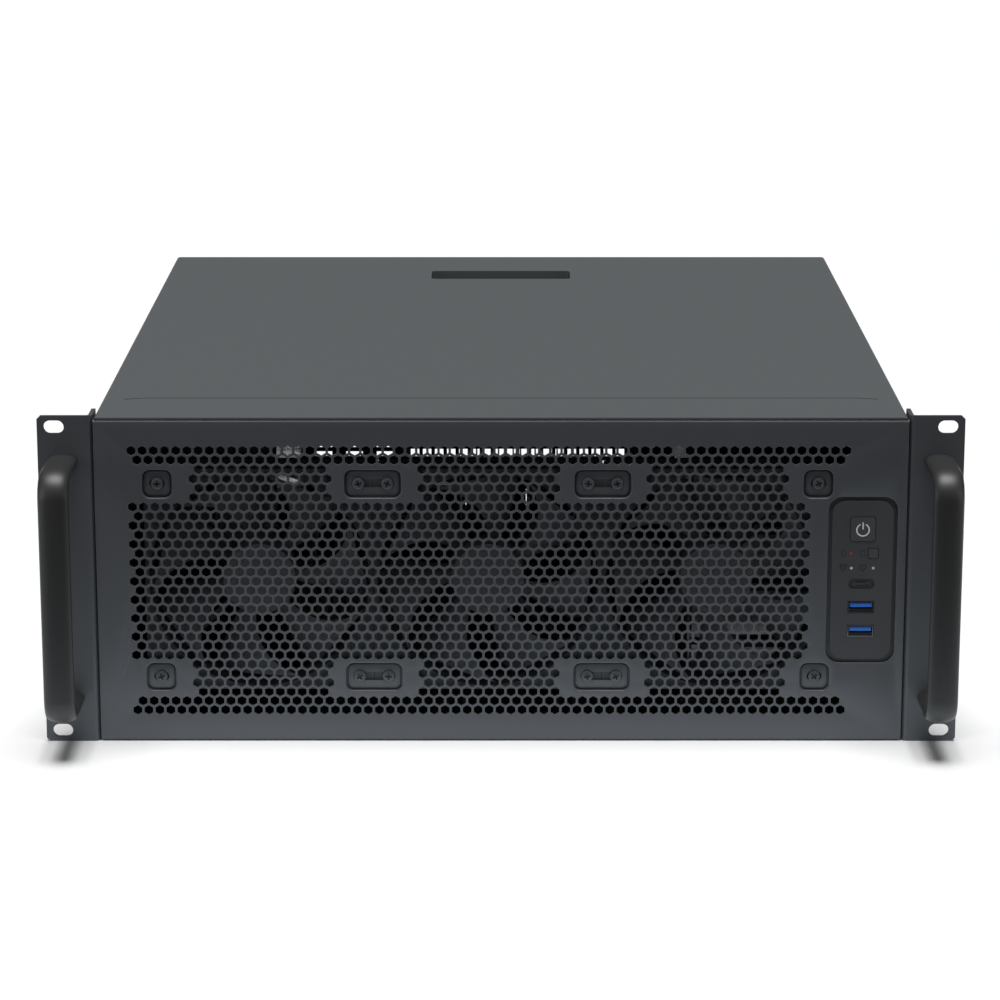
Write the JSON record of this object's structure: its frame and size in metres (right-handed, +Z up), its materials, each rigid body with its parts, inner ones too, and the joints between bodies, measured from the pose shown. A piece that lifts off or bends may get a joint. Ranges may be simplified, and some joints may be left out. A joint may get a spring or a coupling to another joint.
{
  "type": "rack server",
  "caption": "Rack-mounted graphics server: vented front with fans behind it, ears with handles, sliding cover, boards, cards, drives and power supply inside.",
  "frame": {"origin": "on the underside, in the middle of everything the object covers, handles and rear ledge included", "axes": "front faces -Y, +X to the right as seen from the front, +Z up"},
  "size_m": [0.4826, 0.537, 0.177],
  "materials": {
    "black_steel": "fine textured powder coat, matt black",
    "cover_steel": "fine textured powder coat, matt black, catching the light",
    "handle_black": "satin black anodised",
    "screw_black": "black zinc",
    "screw_steel": "bright zinc",
    "plate_plastic": "fine matt moulding",
    "key_plastic": "fine matt moulding with a grey power mark",
    "light_red": "tinted light pipe",
    "port_steel": "bright tinned steel",
    "usb_blue": "blue moulding",
    "board_green": "solder mask over glass fibre",
    "board_black": "black solder mask",
    "fan_plastic": "moulded, slightly glossy",
    "rotor_plastic": "moulded, half gloss",
    "socket_plastic": "moulded",
    "brass": "plain",
    "fin_aluminium": "plain extruded",
    "dark_aluminium": "anodised",
    "shield_steel": "bright stamped sheet",
    "cage_steel": "zinc plated sheet",
    "drive_metal": "cast and machined",
    "supply_steel": "matt black paint"
  },
  "bodies": {
    "chassis": {"chassis_base": "black_steel", "rear_panel": "black_steel", "front_panel": "black_steel", "left_ear": "black_steel", "right_ear": "black_steel", "ear_screws": "screw_black", "left_handle": "handle_black", "right_handle": "handle_black", "handle_screws": "screw_black", "control_plate": "plate_plastic", "status_lights": "light_red", "usb_c_port": "port_steel", "usb_a_shells": "port_steel", "usb_a_tongues": "usb_blue", "control_board": "board_green", "fan_frame_1": "fan_plastic", "fan_frame_2": "fan_plastic", "fan_frame_3": "fan_plastic", "fan_screws": "screw_black", "cross_brace": "black_steel", "motherboard": "board_green", "standoffs": "brass", "board_sockets": "socket_plastic", "port_shield": "shield_steel", "rear_ports": "port_steel", "cpu_heatsink": "fin_aluminium", "cpu_fan_frame": "fan_plastic", "memory_modules": "board_green", "board_heatsinks": "dark_aluminium", "card_board_1": "board_black", "card_board_2": "board_black", "card_shroud_1": "dark_aluminium", "card_shroud_2": "dark_aluminium", "slot_covers": "black_steel", "slot_screws": "screw_steel", "psu_case": "supply_steel", "psu_inlet": "socket_plastic", "psu_screws": "screw_steel", "rear_fan_frame_1": "fan_plastic", "rear_fan_frame_2": "fan_plastic", "drive_cage": "cage_steel", "hard_drives": "drive_metal"},
    "cover": {"top_cover": "cover_steel", "cover_screws": "screw_steel"},
    "power_key": {"power_button": "key_plastic"},
    "reset_key": {"reset_button": "key_plastic"},
    "supply_rocker": {"psu_switch": "socket_plastic"},
    "front_rotor_1": {"fan_rotor_1": "rotor_plastic"},
    "front_rotor_2": {"fan_rotor_2": "rotor_plastic"},
    "front_rotor_3": {"fan_rotor_3": "rotor_plastic"},
    "rear_rotor_1": {"rear_fan_rotor_1": "rotor_plastic"},
    "rear_rotor_2": {"rear_fan_rotor_2": "rotor_plastic"},
    "cooler_rotor": {"cpu_fan_rotor": "rotor_plastic"},
    "card_blower_1": {"card_rotor_1": "rotor_plastic"},
    "card_blower_2": {"card_rotor_2": "rotor_plastic"},
    "supply_rotor": {"psu_rotor": "rotor_plastic"}
  },
  "joints": [
    {"name": "cover_slide", "type": "slide", "parent": "chassis", "child": "cover", "axis": [0, 1, 0], "range_m": [0, 0.02]},
    {"name": "power_press", "type": "slide", "parent": "chassis", "child": "power_key", "axis": [0, 1, 0], "range_m": [0, 0.0012], "stiffness_N_per_m": 600},
    {"name": "reset_press", "type": "slide", "parent": "chassis", "child": "reset_key", "axis": [0, 1, 0], "range_m": [0, 0.0012], "stiffness_N_per_m": 400},
    {"name": "supply_rock", "type": "hinge", "parent": "chassis", "child": "supply_rocker", "pos_m": [0.1553, 0.2543, 0.056], "axis": [1, 0, 0], "range_deg": [0, 20]},
    {"name": "front_fan_1_spin", "type": "hinge", "parent": "chassis", "child": "front_rotor_1", "pos_m": [-0.1271, -0.2085, 0.088], "axis": [0, 1, 0], "continuous": true},
    {"name": "front_fan_2_spin", "type": "hinge", "parent": "chassis", "child": "front_rotor_2", "pos_m": [-0.0069, -0.2085, 0.088], "axis": [0, 1, 0], "continuous": true},
    {"name": "front_fan_3_spin", "type": "hinge", "parent": "chassis", "child": "front_rotor_3", "pos_m": [0.1133, -0.2085, 0.088], "axis": [0, 1, 0], "continuous": true},
    {"name": "rear_fan_1_spin", "type": "hinge", "parent": "chassis", "child": "rear_rotor_1", "pos_m": [-0.01963, 0.2423, 0.11195], "axis": [0, 1, 0], "continuous": true},
    {"name": "rear_fan_2_spin", "type": "hinge", "parent": "chassis", "child": "rear_rotor_2", "pos_m": [0.06438, 0.2423, 0.11195], "axis": [0, 1, 0], "continuous": true},
    {"name": "cooler_fan_spin", "type": "hinge", "parent": "chassis", "child": "cooler_rotor", "pos_m": [0.01013, 0.0583, 0.0433], "axis": [0, 1, 0], "continuous": true},
    {"name": "card_blower_1_spin", "type": "hinge", "parent": "chassis", "child": "card_blower_1", "pos_m": [-0.19115, 0.0274, 0.0676], "axis": [1, 0, 0], "continuous": true},
    {"name": "card_blower_2_spin", "type": "hinge", "parent": "chassis", "child": "card_blower_2", "pos_m": [-0.15051, 0.0274, 0.0676], "axis": [1, 0, 0], "continuous": true},
    {"name": "supply_fan_spin", "type": "hinge", "parent": "chassis", "child": "supply_rotor", "pos_m": [0.1263, 0.1573, 0.079], "axis": [1, 0, 0], "continuous": true}
  ]
}
